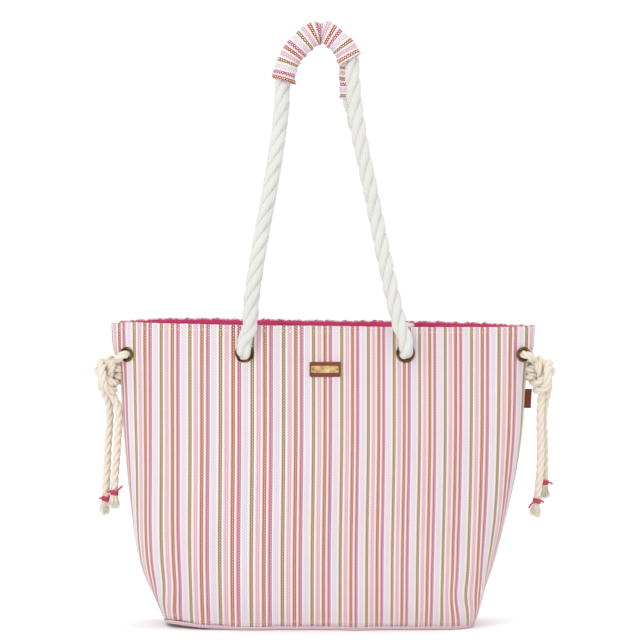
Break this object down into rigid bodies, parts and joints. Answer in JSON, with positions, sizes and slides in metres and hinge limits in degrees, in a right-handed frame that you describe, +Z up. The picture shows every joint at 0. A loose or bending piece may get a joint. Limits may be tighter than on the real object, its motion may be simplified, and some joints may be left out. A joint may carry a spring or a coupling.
{
  "type": "beach bag",
  "caption": "Open-topped striped canvas beach bag with twisted rope shoulder handles and a knotted rope tie at each side.",
  "frame": {"origin": "on the floor under the middle of the base, the bag standing upright with its handles up", "axes": "+Z up, the front with the leather patch faces -Y, and +X is to the right of someone looking at the front"},
  "size_m": [0.5522, 0.1426, 0.7232],
  "materials": {
    "striped_canvas": "matt woven stripes in tan, pale pink, terracotta, rose and lavender on cream",
    "base_canvas": "matt woven",
    "lining": "plain weave, hot pink",
    "rope": "soft twisted cotton, cream white",
    "antique_brass": "antique, darkened",
    "leather": "smooth reddish brown with stitched edge",
    "name_plate": "brushed antique brass, plain",
    "whipping_thread": "pink thread",
    "label": "woven tab, plain",
    "snap": "satin plated"
  },
  "bodies": {
    "bag": {"front_panel": "striped_canvas", "rear_panel": "striped_canvas", "base_panel": "base_canvas", "front_lining": "lining", "rear_lining": "lining", "base_lining": "lining", "inside_pocket": "lining", "front_left_handle_grommet": "antique_brass", "front_left_handle_washer": "antique_brass", "front_right_handle_grommet": "antique_brass", "front_right_handle_washer": "antique_brass", "rear_left_handle_grommet": "antique_brass", "rear_left_handle_washer": "antique_brass", "rear_right_handle_grommet": "antique_brass", "rear_right_handle_washer": "antique_brass", "front_left_tie_grommet": "antique_brass", "front_left_tie_washer": "antique_brass", "front_right_tie_grommet": "antique_brass", "front_right_tie_washer": "antique_brass", "rear_left_tie_grommet": "antique_brass", "rear_left_tie_washer": "antique_brass", "rear_right_tie_grommet": "antique_brass", "rear_right_tie_washer": "antique_brass", "snap_socket": "snap", "snap_stud": "snap", "leather_patch": "leather", "name_plate": "name_plate", "side_label": "label", "front_left_stopper_knot": "rope", "front_right_stopper_knot": "rope", "rear_left_stopper_knot": "rope", "rear_right_stopper_knot": "rope", "left_tie_rope": "rope", "left_tie_knot": "rope", "right_tie_rope": "rope", "right_tie_knot": "rope"},
    "front_handle": {"front_handle_rope": "rope", "front_handle_sleeve": "striped_canvas"},
    "rear_handle": {"rear_handle_rope": "rope", "rear_handle_sleeve": "striped_canvas"},
    "left_front_tail": {"left_front_tail_rope": "rope", "left_front_tail_whipping": "whipping_thread", "left_front_tail_fray": "rope"},
    "left_rear_tail": {"left_rear_tail_rope": "rope", "left_rear_tail_whipping": "whipping_thread", "left_rear_tail_fray": "rope"},
    "right_front_tail": {"right_front_tail_rope": "rope", "right_front_tail_whipping": "whipping_thread", "right_front_tail_fray": "rope"},
    "right_rear_tail": {"right_rear_tail_rope": "rope", "right_rear_tail_whipping": "whipping_thread", "right_rear_tail_fray": "rope"}
  },
  "joints": [
    {"name": "front_handle_swing", "type": "hinge", "parent": "bag", "child": "front_handle", "pos_m": [0, -0.0478, 0.3306], "axis": [1, 0, 0], "range_deg": [0, 135]},
    {"name": "rear_handle_swing", "type": "hinge", "parent": "bag", "child": "rear_handle", "pos_m": [0, 0.0478, 0.3306], "axis": [-1, 0, 0], "range_deg": [0, 135]},
    {"name": "left_front_tail_swing", "type": "hinge", "parent": "bag", "child": "left_front_tail", "pos_m": [-0.251, -0.0075, 0.284], "axis": [0, 1, 0], "range_deg": [-3, 70]},
    {"name": "left_rear_tail_swing", "type": "hinge", "parent": "bag", "child": "left_rear_tail", "pos_m": [-0.2595, 0.006, 0.279], "axis": [0, 1, 0], "range_deg": [-5, 70]},
    {"name": "right_front_tail_swing", "type": "hinge", "parent": "bag", "child": "right_front_tail", "pos_m": [0.258, -0.0075, 0.279], "axis": [0, -1, 0], "range_deg": [-5, 70]},
    {"name": "right_rear_tail_swing", "type": "hinge", "parent": "bag", "child": "right_rear_tail", "pos_m": [0.263, 0.006, 0.279], "axis": [0, -1, 0], "range_deg": [-5, 70]}
  ]
}
